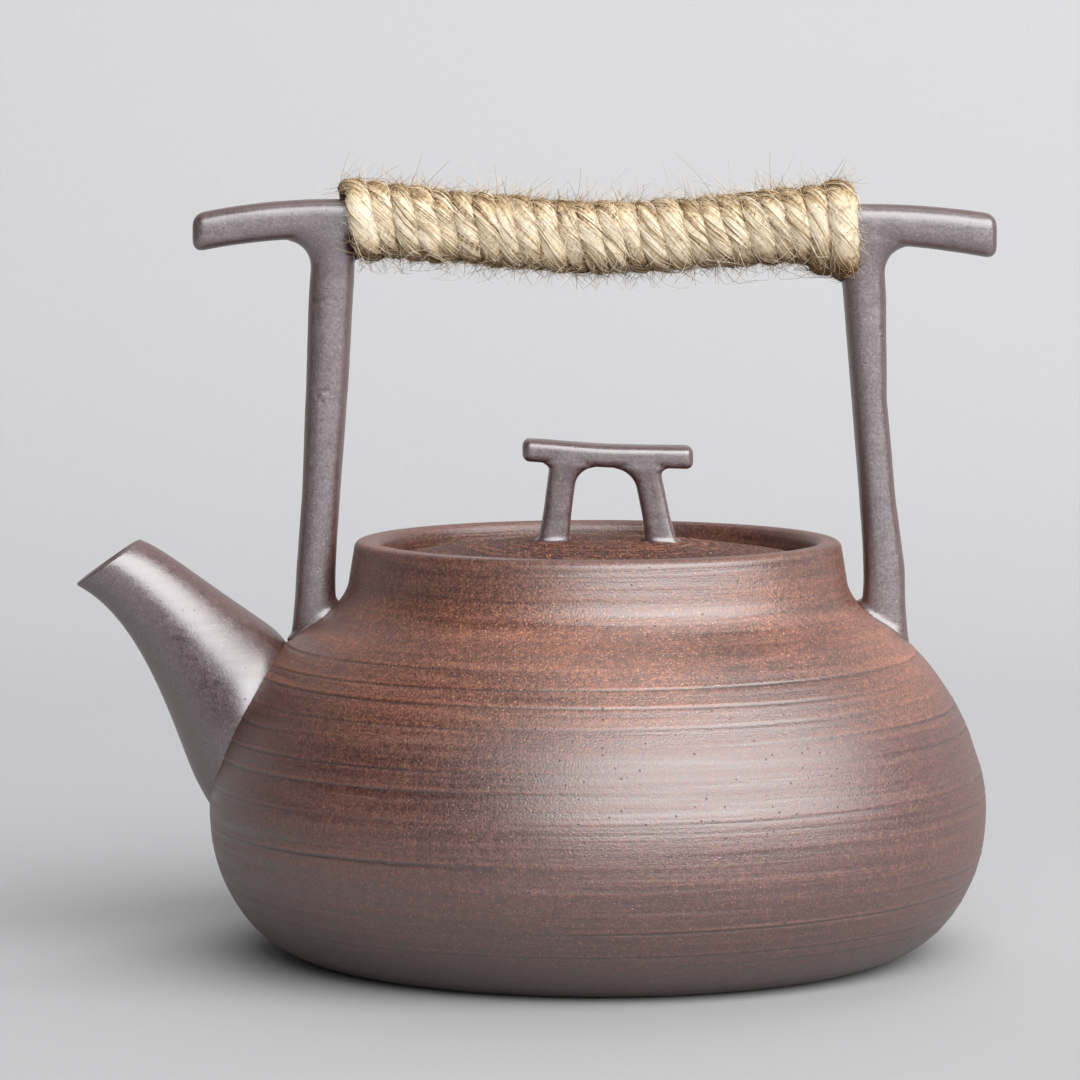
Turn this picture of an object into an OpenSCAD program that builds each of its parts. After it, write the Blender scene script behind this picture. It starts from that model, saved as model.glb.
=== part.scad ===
// Stoneware teapot with a fixed overhead handle, a cord-wound grip and a loose lid sunk in the collar.
// Lengths are in millimetres. The axis of the pot is Z, its base lies at Z = 0 and the spout points to -X.

/* [Vessel] */
// Radius of the flat base
base_r = 54; // [48:1:58]
// Outer radius of the belly at its widest
belly_r = 75.4; // [72:0.2:80]
// Height of the widest part of the belly
belly_z = 28; // [25:0.5:31]
// Outer radius where the shoulder turns into the neck
neck_r = 54.5; // [52.5:0.5:57]
// Slope of the shoulder at the neck, in degrees
neck_slope = 30; // [24:1:36]
// Outer radius of the collar at the rim
rim_r = 47.3; // [45:0.1:49]
// Height of the rim above the base
rim_z = 80; // [76:0.5:86]
// Height from the turn of the shoulder to the rim
collar_h = 15.5; // [14:0.5:18]
// How much wider the collar is at its foot than at the rim
collar_taper = 1; // [0.5:0.1:2]
// Thickness of the vessel wall
wall = 4.5; // [3.5:0.1:5.5]
// Thickness of the floor
floor_t = 5.5; // [4:0.5:8]
// Thickness of the collar
lip_t = 5; // [4:0.1:6]
// Rounding of the rim's two edges
lip_round = 1.6; // [0.8:0.1:1.9]

/* [Lid] */
// Depth of the lid's edge below the rim
lid_sink = 3.5; // [2:0.1:4]
// Thickness of the lid
lid_t = 4; // [3.2:0.1:5]
// Rise of the lid from its edge to its middle
lid_rise = 3.6; // [2:0.1:5]
// Gap between the lid's edge and the collar
lid_gap = 2.3; // [1:0.1:2.6]
// Gap left under the lid where it rests on its ledge
seat_gap = 0.2; // [0.1:0.05:0.4]
// Width of the ledge that carries the lid
ledge_w = 7.8; // [6:0.1:10]
// Thickness of the ledge at its free edge
ledge_t = 4; // [3:0.1:5]
// Depth of the flange under the lid
flange_l = 9; // [6:0.5:12]
// Thickness of the flange
flange_t = 3; // [2.4:0.1:4]
// Gap between the flange and the edge of the ledge
flange_gap = 0.9; // [0.5:0.1:1.5]
// Diameter of the steam vent
vent_d = 2.2; // [1.6:0.1:4]
// Distance of the vent from the middle of the lid
vent_off = 15; // [12:0.5:20]

/* [Spout] */
// Gap on the wall between the foot of the front post and the root of the spout
spout_gap = 0.6; // [0.2:0.1:2]
// Half length of the spout's section where it leaves the wall
spout_root_r = 17; // [15:0.1:17.4]
// Half length of the spout's section at its mouth
spout_tip_r = 7.6; // [6.5:0.1:8.5]
// Reach of the mouth's middle past the belly
spout_reach = 19.2; // [15:0.2:24]
// Height of the mouth's middle below the rim
spout_drop = 4.6; // [2:0.2:8]
// Slope of the spout where it leaves the wall, in degrees
spout_rise = 58; // [52:1:62]
// Slope of the spout at its mouth, in degrees
mouth_rise = 25; // [22:1:36]
// Slope of the mouth's cut, in degrees
mouth_cut = 36; // [30:1:45]
// Wall of the spout where it leaves the body
spout_root_wall = 3.4; // [2.8:0.1:4.2]
// Wall of the spout at its mouth
spout_tip_wall = 2.2; // [1.6:0.1:2.8]

/* [Strainer] */
// Radius of the hole in the wall behind the spout
port_r = 11.5; // [10.5:0.5:12]
// How far the strainer stands into the pot
strainer_bulge = 8; // [6:0.5:9]
// Thickness of the strainer
strainer_t = 2.4; // [2:0.1:3]
// Diameter of the strainer's holes
strainer_hole = 3; // [2:0.1:3.4]

/* [Handle] */
// Height of the bar's middle above the rim, measured at the posts
bar_rise = 61.4; // [54:0.2:70]
// Height of the bar's section
bar_h = 7.6; // [6.6:0.1:9]
// Depth of the bar's section
bar_d = 10.4; // [9.8:0.1:12]
// How far the bar dips between the posts
bar_sag = 3; // [0:0.1:5]
// Fall of the bar from front to rear, in degrees
bar_tilt = 0.55; // [0:0.05:2]
// Rounding of the bar's two ends
bar_round = 2; // [1:0.1:2.6]
// Height of the bar's section at its front end
front_end_h = 7.4; // [6:0.1:9]
// Height of the bar's section at its rear end
rear_end_h = 8.6; // [6:0.1:10]
// Length of the front stub past its post
front_stub_l = 27.4; // [18:0.1:34]
// Length of the rear stub past its post
rear_stub_l = 26; // [18:0.1:34]
// How far the front stub droops
front_droop = 3; // [0:0.1:5]
// How far the rear stub droops
rear_droop = 2.2; // [0:0.1:5]
// Width of a post
post_w = 7.8; // [6:0.1:9]
// Depth of a post
post_d = 9.4; // [8:0.1:9.6]
// Gap between the foot of a post and the collar
post_gap = 3; // [2.6:0.1:4.4]
// How far a post leans in from its foot to the bar
post_lean = 4.6; // [1:0.1:6]
// How much wider a post is at its foot, on each side
post_flare = 0.7; // [0:0.1:0.7]
// Radius of the fillet between a post and its stub
stub_fillet = 5.5; // [2:0.5:6]

/* [Cord] */
// Number of turns round the bar
cord_turns = 24; // [16:1:24]
// Diameter of the cord
cord_d = 3.2; // [2.4:0.1:3.2]
// Gap between the cord and the clay
cord_gap = 0.25; // [0.15:0.05:0.4]

/* [Knob] */
// Height of the knob's cap above the lid, measured to the middle of the cap
knob_h = 16.5; // [14:0.1:20]
// Distance of the knob from the middle of the lid, along the handle
knob_shift = 1.9; // [0:0.1:3]
// Half distance between the feet of the legs
leg_spread = 10.6; // [8.4:0.1:11]
// How far the left leg leans in from its foot to the cap
left_lean = 2.4; // [0:0.1:3]
// How far the right leg leans in from its foot to the cap
right_lean = 3.6; // [0:0.1:4]
// Width of a leg
leg_w = 5.4; // [4.6:0.1:6.4]
// Depth of a leg
leg_d = 7.2; // [6:0.1:7.4]
// How much wider a leg is at its foot, on each side
leg_flare = 0.6; // [0:0.1:1]
// Radius of the arch's corners under the cap
arch_fillet = 3.5; // [1:0.5:4]
// Radius of the corner between a leg and the end of the cap
cap_fillet = 1.2; // [0.4:0.1:2]
// Half length of the cap
cap_half = 16.5; // [15:0.1:19]
// Thickness of the cap
cap_h = 4.4; // [3.6:0.1:5.4]
// Depth of the cap
cap_d = 8.2; // [7.8:0.1:10]
// How far the cap dips in its middle
cap_sag = 0.4; // [0:0.1:2]
// Fall of the cap from left to right, in degrees
cap_tilt = 2.6; // [0:0.1:4]
// Rounding of the cap's two ends
cap_round = 1.4; // [0.6:0.1:1.6]

/* [Hidden] */
$fn = 96;

// Thickness of the slip between luted pieces
slip = 0.15;
// Squareness of the sections of posts and bars: 2 is an ellipse
squareness = 3;
// Points round a section, and rings along a sweep
section_n = 20;
sweep_n = 20;
yoke_n = 32;
// Shares of the section at which the ends of a post follow what they meet
end_rings = [0.35, 0.65, 0.85];
spout_n = 28;
// How quickly the spout narrows from its root, and how far its root leans past its slope, in degrees
spout_taper = 2.6;
spout_lean = 2;
cord_ring_n = 24;
cord_side_n = 6;

neck_z = rim_z - collar_h;
collar_r = rim_r + collar_taper;
bore_r = rim_r - lip_t;
ledge_r = bore_r - ledge_w;
lid_r = bore_r - lid_gap;
lid_edge_z = rim_z - lid_sink;
lid_under_z = lid_edge_z - lid_t;
ledge_z = lid_under_z - seat_gap;
lid_top_z = lid_edge_z + lid_rise;
lid_curve_r = (lid_r * lid_r + lid_rise * lid_rise) / (2 * lid_rise);
flange_r = ledge_r - flange_gap;
bar_z = rim_z + bar_rise;
post_foot_x = collar_r + post_gap + post_w / 2;
post_top_x = post_foot_x - post_lean;
bar_front = -post_top_x - front_stub_l;
bar_rear = post_top_x + rear_stub_l;
knob_top_z = lid_top_z + knob_h;
clay = [0.30, 0.19, 0.17];
smooth_clay = [0.36, 0.27, 0.26];
jute = [0.76, 0.65, 0.48];

// Curves: a point at t on a curve with two or one control points, and n + 1 such points in order
function cubic(p, t) = p[0] * pow(1 - t, 3) + 3 * p[1] * t * pow(1 - t, 2)
    + 3 * p[2] * t * t * (1 - t) + p[3] * pow(t, 3);
function quadratic(p, t) = p[0] * pow(1 - t, 2) + 2 * p[1] * t * (1 - t) + p[2] * t * t;
function steps(n) = [for (i = [0 : n]) i / n];
function round_steps(n) = [for (i = [0 : n]) (1 - cos(180 * i / n)) / 2];
function reversed(list) = [for (i = [len(list) - 1 : -1 : 0]) list[i]];

// Section of a post or bar: half sizes a and b, at angle q
function section(a, b, q) = [cos(q), sin(q)]
    / pow(pow(abs(cos(q)) / a, squareness) + pow(abs(sin(q)) / b, squareness), 1 / squareness);
function section_angles(n) = [for (j = [0 : n - 1]) 360 * j / n];

// Wall of the vessel from the base to the turn of the neck, set in from the outside by d
function lower_wall(d, foot) = [for (t = steps(12))
    [base_r + (belly_r - d - base_r) * sin(90 * t), belly_z - (belly_z - foot) * cos(90 * t)]];
function shoulder(d) = let (
        a = neck_slope,
        top = [neck_r - d * sin(a), neck_z - d * cos(a)],
        side = [belly_r - d, belly_z])
    [for (t = steps(14)) cubic([side, side + [0, (neck_z - belly_z) / 3],
        top + (belly_r - neck_r) * 2 / 3 * [cos(a), -sin(a)], top], t)];
function neck() = let (
        foot = [collar_r, neck_z + collar_h / 2],
        turn = [neck_r, neck_z],
        corner = [collar_r + 0.6 * collar_taper, neck_z + (neck_r - collar_r) * tan(neck_slope)])
    [for (t = steps(7)) quadratic([turn, corner, foot], t)];
function lip(x, start, d) = [for (t = steps(4))
    [x, rim_z - lip_round] + lip_round * [cos(start + d * t), sin(start + d * t)]];
outside = concat(lower_wall(0, 0), [for (p = shoulder(0)) if (p.y > belly_z) p],
    [for (p = neck()) if (p.y > neck_z) p], lip(rim_r - lip_round, 0, 90));
inside = concat(lower_wall(wall, floor_t), [for (p = shoulder(wall)) if (p.y > belly_z) p]);
function wall_r(z) = lookup(z, [for (p = outside) [p.y, p.x]]);
function shoulder_z(r) = lookup(r, reversed([for (p = outside) if (p.y >= belly_z) [p.x, p.y]]));
function wall_slope(z) = atan2(wall_r(z - 1) - wall_r(z + 1), 2);

// Middle line of a bar that dips between its crests and droops past them
function yoke_z(x, crest, sag, stub, droop) = abs(x) < crest
    ? -sag * (1 + cos(180 * x / crest)) / 2
    : -droop * pow((abs(x) - crest) / stub, 2);
function bar_mid(x) = bar_z - x * tan(bar_tilt) + (x < 0
    ? yoke_z(x, post_top_x, bar_sag, front_stub_l, front_droop)
    : yoke_z(x, post_top_x, bar_sag, rear_stub_l, rear_droop));
// Height of the bar's section: even between the posts, then changing to that of either end
function bar_height(x) = let (past = max(0, abs(x) - post_top_x))
    bar_h + (x < 0 ? (front_end_h - bar_h) * past / front_stub_l : (rear_end_h - bar_h) * past / rear_stub_l);
function cap_mid(x) = knob_top_z - (x - knob_shift) * tan(cap_tilt)
    + yoke_z(x - knob_shift, cap_half, cap_sag, cap_half, 0);
// Underside of a bar of height h and depth d at y from its middle
function under(h, d, y) = h / 2 * pow(1 - pow(min(abs(2 * y / d), 1), squareness), 1 / squareness);

// Skin over rings of equal point counts, capped at both ends or closed on itself
function centre(ring) = [for (p = ring) 1] * ring / len(ring);
module skin(rings, closed = false) {
    n = len(rings[0]);
    m = len(rings);
    last = closed ? m - 1 : m - 2;
    sides = [for (i = [0 : last]) for (j = [0 : n - 1])
        let (k = (i + 1) % m, l = (j + 1) % n)
        each [[i * n + j, k * n + j, k * n + l], [i * n + j, k * n + l, i * n + l]]];
    caps = [for (j = [0 : n - 1])
        let (l = (j + 1) % n)
        each [[m * n, j, l], [m * n + 1, (m - 1) * n + l, (m - 1) * n + j]]];
    rim = [for (ring = rings) each ring];
    if (closed) {
        polyhedron(rim, sides, convexity = 6);
    } else {
        polyhedron(concat(rim, [centre(rings[0]), centre(rings[m - 1])]), concat(sides, caps), convexity = 6);
    }
}

// Post or leg: starts on the surface foot_z, ends under the surface top_z and leans towards mid_x.
// It widens at its foot by flare, and at its top by a fillet on the outer or the inner side.
module strut(mid_x, side, foot_x, lean, w, d, flare, outer_fillet, inner_fillet, foot_z, top_z) {
    run = top_z(mid_x + side * (foot_x - lean), 0) - foot_z(mid_x + side * foot_x, 0);
    function fillet(r, h) = h < r ? r - sqrt(r * r - pow(r - h, 2)) : 0;
    function spread(s, q) = w / 2 + flare * pow(max(0, 1 - s * run / d), 2)
        + (cos(q) > 0 ? fillet(outer_fillet, (1 - s) * run) : fillet(inner_fillet, (1 - s) * run));
    function place(s, q, k) =
        let (p = k * section(spread(s, q), d / 2, q),
            x = mid_x + side * (foot_x - lean * s + p.x),
            low = foot_z(x, p.y),
            high = top_z(x, p.y))
        [x, p.y, low + (high - low) * s];
    angles = section_angles(section_n);
    rings = concat([for (k = end_rings) [for (q = angles) place(0, q, k)]],
        [for (s = round_steps(sweep_n)) [for (q = angles) place(s, q, 1)]],
        [for (k = reversed(end_rings)) [for (q = angles) place(1, q, k)]]);
    skin(side > 0 ? rings : reversed(rings));
}

// Bar along X with rounded ends, whose height is the function h and whose middle line is the function mid
module yoke(mid_x, half, h, d, end_round, mid) {
    function swell(x) =
        let (k = min(1, max(0, 1 - (half - abs(x - mid_x)) / end_round)))
        1 - 2 * end_round / h(x) * (1 - sqrt(1 - k * k));
    skin([for (s = round_steps(yoke_n))
        let (x = mid_x + half * (2 * s - 1))
        [for (q = section_angles(section_n))
            let (p = swell(x) * section(d / 2, h(x) / 2, q))
            [x, p.x, mid(x) + p.y]]]);
}

module pot_body() {
    ledge = [[bore_r, ledge_z], [ledge_r, ledge_z], [ledge_r, ledge_z - ledge_t]];
    color(clay) difference() {
        rotate_extrude() polygon(concat([[0, 0]], outside, lip(bore_r + lip_round, 90, 90), ledge,
            reversed(inside), [[0, floor_t]]));
        at_port() translate([0, 0, -wall]) cylinder(r = port_r, h = 3 * wall);
    }
}

// Spout: a section that shrinks and tips forward along a bent middle line. Its root lies as far down the
// wall from the front post as half the post, half the section and the gap take, found by halving.
post_foot_z = shoulder_z(post_foot_x);
spout_set = post_w / 2 + post_flare + spout_gap + spout_root_r;
function root_height(low, high, n = 24) =
    let (z = (low + high) / 2, far = norm([wall_r(z) - post_foot_x, z - post_foot_z]) > spout_set)
    n == 0 ? z : far ? root_height(z, high, n - 1) : root_height(low, z, n - 1);
spout_root_z = root_height(belly_z, post_foot_z);
spout_root = [-wall_r(spout_root_z), spout_root_z];
spout_tip = [-belly_r - spout_reach, rim_z - spout_drop];
root_dir = [-cos(spout_rise), sin(spout_rise)];
tip_dir = [cos(mouth_rise), -sin(mouth_rise)];
spout_bend = spout_root + root_dir * cross(spout_tip - spout_root, tip_dir) / cross(root_dir, tip_dir);
function spout_mid(t) = quadratic([spout_root, spout_bend, spout_tip], t);
function spout_half(t) = spout_tip_r
    + (spout_root_r - spout_tip_r) * pow(min(1, max(0, 1 - t)), spout_taper);
function spout_wall(t) = spout_tip_wall + (spout_root_wall - spout_tip_wall) * (1 - t);
function spout_cut(t) = mouth_cut + (spout_rise + spout_lean - mouth_cut) * (1 - t);
function spout_point(q, t, depth) =
    let (m = spout_mid(t), a = spout_cut(t), r = spout_half(t) - depth * spout_wall(t))
    [m.x + r * cos(q) * cos(a), 0.95 * r * sin(q), m.y + r * cos(q) * sin(a)];
// Where the spout's side at angle q meets the vessel's wall, found by halving
function seat(q, depth, low = -0.6, high = 0.8, n = 24) =
    let (t = (low + high) / 2, p = spout_point(q, t, depth), out = norm([p.x, p.y]) > wall_r(p.z) + slip)
    n == 0 ? t : out ? seat(q, depth, low, t, n - 1) : seat(q, depth, t, high, n - 1);

module spout() {
    angles = section_angles(spout_n);
    function ring(s, depth) = [for (q = angles)
        let (t = seat(q, depth))
        spout_point(q, t + (1 - t) * s, depth)];
    outer = [for (s = steps(14)) ring(s, 0)];
    rim = [[for (q = angles) spout_point(q, 1.02, 0.5)]];
    inner = [for (s = reversed(steps(10))) ring(s, 1)];
    foot = [for (depth = [0.75, 0.5, 0.25]) ring(0, depth)];
    color(smooth_clay) skin(concat(outer, rim, inner, foot), closed = true);
}

// Frame of the hole behind the spout: its Z axis points into the pot, square to the wall
module at_port() {
    translate([spout_root.x, 0, spout_root.y]) rotate([0, 90 + wall_slope(spout_root_z), 0]) children();
}

module strainer() {
    r = port_r - slip;
    dome_r = (r * r + strainer_bulge * strainer_bulge) / (2 * strainer_bulge);
    dome_z = wall + strainer_bulge - dome_r;
    wide = asin(r / dome_r);
    narrow = asin((r - strainer_t) / (dome_r - strainer_t));
    function arc(radius, angle) = [for (t = steps(8))
        [radius * sin(angle * t), dome_z + radius * cos(angle * t)]];
    shell = concat(arc(dome_r, wide), [[r, wall / 3], [r - strainer_t, wall / 3]],
        reversed(arc(dome_r - strainer_t, narrow)));
    step = 1.7 * strainer_hole / dome_r * 180 / PI;
    color(clay) at_port() difference() {
        rotate_extrude() polygon(shell);
        for (ring = [0 : 2]) for (i = [0 : max(1, 6 * ring) - 1])
            translate([0, 0, dome_z]) rotate([ring * step, 0, 60 * i / max(1, ring)])
                translate([0, 0, dome_r - 1.5 * strainer_t]) cylinder(d = strainer_hole, h = 3 * strainer_t);
    }
}

// The two posts stand on the shoulder and carry the bar
module post(side) {
    color(smooth_clay) strut(0, side, post_foot_x, post_lean, post_w, post_d, post_flare, stub_fillet, 0,
        function(x, y) shoulder_z(norm([x, y])) + slip,
        function(x, y) bar_mid(x) - under(bar_height(x), bar_d, y) - slip);
}
module front_post() { post(-1); }
module rear_post() { post(1); }

module handle_bar() {
    color(smooth_clay) yoke((bar_rear + bar_front) / 2, (bar_rear - bar_front) / 2,
        function(x) bar_height(x), bar_d, bar_round, function(x) bar_mid(x));
}

// Cord: one tube wound round the bar, from the top over the front as it goes to +X
wrap_x = post_top_x - post_w / 2 - cord_d / 2 - 3 * cord_gap;
cord_pitch = 2 * wrap_x / cord_turns;
function cord_mid(turn) =
    let (x = -wrap_x + cord_pitch * turn, off = cord_gap + cord_d / 2,
        p = section(bar_d / 2 + off, bar_h / 2 + off, 300 + 360 * turn))
    [x, p.x, bar_mid(x) + p.y];
cord_steps = [for (i = [0 : cord_turns * cord_ring_n]) i / cord_ring_n];
function unit(v) = v / norm(v);
function cord_run(t) = unit(cord_mid(t + 0.01) - cord_mid(t - 0.01));
cord_start = cord_mid(0) - cord_d * cord_run(0);
cord_end = cord_mid(cord_turns) + cord_d * cord_run(cord_turns);
cord_path = concat([cord_start], [for (t = cord_steps) cord_mid(t)], [cord_end]);
function cord_ring(p, t) =
    let (run = cord_run(t), mid = cord_mid(t), up = mid - [mid.x, 0, bar_mid(mid.x)],
        out = unit(up - run * (up * run)), across = cross(run, out))
    [for (q = section_angles(cord_side_n)) p + cord_d / 2 * (out * cos(q) + across * sin(q))];
// Least gap between one turn and the next, measured on the points of the path
turn_steps = [cord_ring_n * 3 / 4, cord_ring_n * 5 / 4];
cord_self_gap = min([for (i = [0 : len(cord_path) - 1]) for (j = [i + turn_steps[0] : i + turn_steps[1]])
    if (j < len(cord_path)) norm(cord_path[i] - cord_path[j])]) - cord_d;
echo(cord_self_gap = cord_self_gap);

module cord_wrap() {
    color(jute) skin(concat([cord_ring(cord_start, 0)],
        [for (t = cord_steps) cord_ring(cord_mid(t), t)], [cord_ring(cord_end, cord_turns)]));
}

// Lid: a shallow dome with a locating ring below it
function lid_z(r) = lid_top_z - lid_curve_r + sqrt(lid_curve_r * lid_curve_r - r * r);
module lid_plate() {
    edge_r = 0.3 * lid_t;
    hollow_r = flange_r - flange_t;
    top = [for (t = steps(10)) [(lid_r - edge_r) * t, lid_z((lid_r - edge_r) * t)]];
    edge_mid = [lid_r - edge_r, lid_z(lid_r - edge_r) - edge_r];
    edge = [for (t = steps(4)) edge_mid + edge_r * [sin(90 * t), cos(90 * t)]];
    hollow = [for (t = steps(8)) [hollow_r * (1 - t), lid_z(hollow_r * (1 - t)) - lid_t]];
    color(clay) difference() {
        rotate_extrude() polygon(concat(top, edge, [[lid_r, lid_under_z], [hollow_r, lid_under_z]], hollow));
        translate([knob_shift, -vent_off, lid_under_z]) cylinder(d = vent_d, h = lid_t + lid_rise, $fn = 24);
    }
}

module lid_flange() {
    color(clay) rotate_extrude() polygon([[flange_r - flange_t, lid_under_z], [flange_r, lid_under_z],
        [flange_r, lid_under_z - flange_l + flange_t / 2], [flange_r - flange_t / 3, lid_under_z - flange_l],
        [flange_r - flange_t, lid_under_z - flange_l]]);
}

// Knob: two splayed legs on the lid and a cap over them
module knob_leg(side) {
    lean = side < 0 ? left_lean : right_lean;
    color(smooth_clay) strut(knob_shift, side, leg_spread, lean, leg_w, leg_d, leg_flare,
        cap_fillet, arch_fillet,
        function(x, y) lid_z(norm([x, y])) + slip,
        function(x, y) cap_mid(x) - under(cap_h, cap_d, y) - slip);
}
module knob_left_leg() { knob_leg(-1); }
module knob_right_leg() { knob_leg(1); }

module knob_cap() {
    color(smooth_clay) yoke(knob_shift, cap_half, function(x) cap_h, cap_d, cap_round,
        function(x) cap_mid(x));
}

pot_body();
spout();
strainer();
front_post();
rear_post();
handle_bar();
cord_wrap();
lid_plate();
lid_flange();
knob_left_leg();
knob_right_leg();
knob_cap();
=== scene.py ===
"""Unglazed stoneware teapot with a cord-wound overhead handle and a loose lid sunk in its collar."""
import math

import bpy
import numpy as np
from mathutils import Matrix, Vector, noise


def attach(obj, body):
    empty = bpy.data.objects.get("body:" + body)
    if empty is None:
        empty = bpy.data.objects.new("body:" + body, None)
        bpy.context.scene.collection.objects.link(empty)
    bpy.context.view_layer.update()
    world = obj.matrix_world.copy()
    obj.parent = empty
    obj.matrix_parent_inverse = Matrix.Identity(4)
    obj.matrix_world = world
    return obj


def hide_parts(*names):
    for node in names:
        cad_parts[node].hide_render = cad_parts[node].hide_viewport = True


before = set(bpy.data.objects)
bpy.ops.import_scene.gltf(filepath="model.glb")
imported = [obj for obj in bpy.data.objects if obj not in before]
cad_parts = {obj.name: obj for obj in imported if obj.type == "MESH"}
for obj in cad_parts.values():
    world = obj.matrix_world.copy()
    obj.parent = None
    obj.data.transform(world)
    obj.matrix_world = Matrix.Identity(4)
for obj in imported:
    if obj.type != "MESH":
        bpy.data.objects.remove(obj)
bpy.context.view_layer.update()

scene = bpy.context.scene


# Camera: a long lens a metre off, a little above the grip and looking slightly down, so that the mouth
# of the pot shows as a thin ellipse. Its place was solved from the rim, the belly and the handle's ends.
photo_px = 1080
focal_px = 5285
sensor_mm = 36
look_down = 5.007
camera_at = (-0.0112, -1.0192, 0.1691)

camera_data = bpy.data.cameras.new("camera")
camera_data.sensor_width = sensor_mm
camera_data.lens = focal_px / photo_px * sensor_mm
camera = bpy.data.objects.new("camera", camera_data)
camera.location = camera_at
camera.rotation_euler = (math.radians(90 - look_down), 0, 0)
scene.collection.objects.link(camera)
scene.camera = camera


# Vessel: a squat round pot thrown on the wheel from dark iron-rich stoneware and left unglazed. Turning
# has left a spiral of fine ridges in the wall, and the collar has an inner ledge that carries the lid.
mm = 0.001
base_r = 54.0
belly_r = 75.4
belly_z = 28.0
neck_r = 54.5
neck_slope = math.radians(30)
rim_r = 47.3
rim_z = 80.0
collar_h = 15.5
collar_taper = 1.0
wall = 4.5
floor_t = 5.5
lip_t = 5.0
lip_round = 1.6
ledge_z = 72.3
ledge_w = 7.8
ledge_t = 4.0
neck_z = rim_z - collar_h
collar_r = rim_r + collar_taper
bore_r = rim_r - lip_t
ledge_r = bore_r - ledge_w

throw_pitch = 4.3
throw_depth = 0.18
throw_drift = 2.2
ridge_w = 0.24
trim_pitch = 1.45
trim_depth = 0.012
swell_pitch = 4.6
swell_depth = 0.26
wall_sink = 0.12
# where the grooves are strongest: how much stronger, at what height and how far up and down
plain_wall = 0.45
strong_bands = ((0.55, 19, 12), (0.45, 48, 10))
neck_fade = 6
foot_fade = 3
base_fade = 2
row_step = 0.25
inner_step = 0.7
pot_columns = 256
axis_r = 0.02


def lower_wall(inset, foot):
    """Line of the wall from the base to the widest part of the belly, set in from the outside."""
    turn = np.linspace(0, math.pi / 2, 40)
    return np.column_stack([base_r + (belly_r - inset - base_r) * np.sin(turn),
                            belly_z - (belly_z - foot) * np.cos(turn)])


def bezier(points, n):
    """A smooth line of n points led by a few."""
    t = np.linspace(0, 1, n)[:, None]
    degree = len(points) - 1
    return sum(math.comb(degree, i) * (1 - t) ** (degree - i) * t ** i * np.array(p, float)
               for i, p in enumerate(points))


def shoulder(inset):
    """Line of the wall from the belly to the neck, set in from the outside."""
    slope = np.array([math.cos(neck_slope), -math.sin(neck_slope)])
    top = np.array([neck_r - inset * math.sin(neck_slope), neck_z - inset * math.cos(neck_slope)])
    side = np.array([belly_r - inset, belly_z])
    lead_up = side + [0, (neck_z - belly_z) / 3]
    lead_in = top + (belly_r - neck_r) * 2 / 3 * slope
    return bezier([side, lead_up, lead_in, top], 60)


def arc(mid, radius, start, end, n=12):
    """Points on part of a circle, between two angles in degrees."""
    turn = np.radians(np.linspace(start, end, n))
    return np.array(mid) + radius * np.column_stack([np.cos(turn), np.sin(turn)])


def even(points, step):
    """The same line with its points a step apart."""
    points = points[np.r_[True, np.hypot(*np.diff(points, axis=0).T) > 1e-6]]
    along = np.r_[0, np.cumsum(np.hypot(*np.diff(points, axis=0).T))]
    at = np.linspace(0, along[-1], max(2, int(along[-1] / step)))
    return np.column_stack([np.interp(at, along, points[:, 0]), np.interp(at, along, points[:, 1])])


def eased(points, rounds):
    """The same line with its corners worn round."""
    for _ in range(rounds):
        points[1:-1] = 0.25 * points[:-2] + 0.5 * points[1:-1] + 0.25 * points[2:]
    return points


neck_corner = [collar_r + 0.6 * collar_taper, neck_z + (neck_r - collar_r) * math.tan(neck_slope)]
outside = np.vstack([lower_wall(0, 0), shoulder(0)[1:],
                     bezier([[neck_r, neck_z], neck_corner, [collar_r, neck_z + collar_h / 2]], 24)[1:],
                     arc([rim_r - lip_round, rim_z - lip_round], lip_round, 0, 90)])
inside = np.vstack([arc([bore_r + lip_round, rim_z - lip_round], lip_round, 90, 180),
                    [[bore_r, ledge_z], [ledge_r, ledge_z], [ledge_r, ledge_z - ledge_t]],
                    shoulder(wall)[::-1], lower_wall(wall, floor_t)[::-1], [[axis_r, floor_t]]])


def wall_r(z):
    """Outer radius of the vessel at a height."""
    return np.interp(z, outside[:, 1], outside[:, 0])


def shoulder_z(r):
    """Height of the vessel's upper side at a radius."""
    upper = outside[outside[:, 1] >= belly_z][::-1]
    return np.interp(r, upper[:, 0], upper[:, 1])


def wander(seed, count=997):
    """A smooth random line from 0 to 1 that is read at any place along it."""
    value = np.random.default_rng(seed).random(count)

    def read(w):
        i = np.floor(w).astype(int)
        f = w - i
        f = f * f * (3 - 2 * f)
        return value[i % count] * (1 - f) + value[(i + 1) % count] * f
    return read


def spiral(along, pitch, turn):
    """Where points lie on a spiral: how far off its nearest lap, in pitches, and how far along the spiral."""
    place = along / pitch - turn / (2 * math.pi)
    lap = np.floor(place + 0.5)
    return place - lap, lap + turn / (2 * math.pi)


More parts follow.
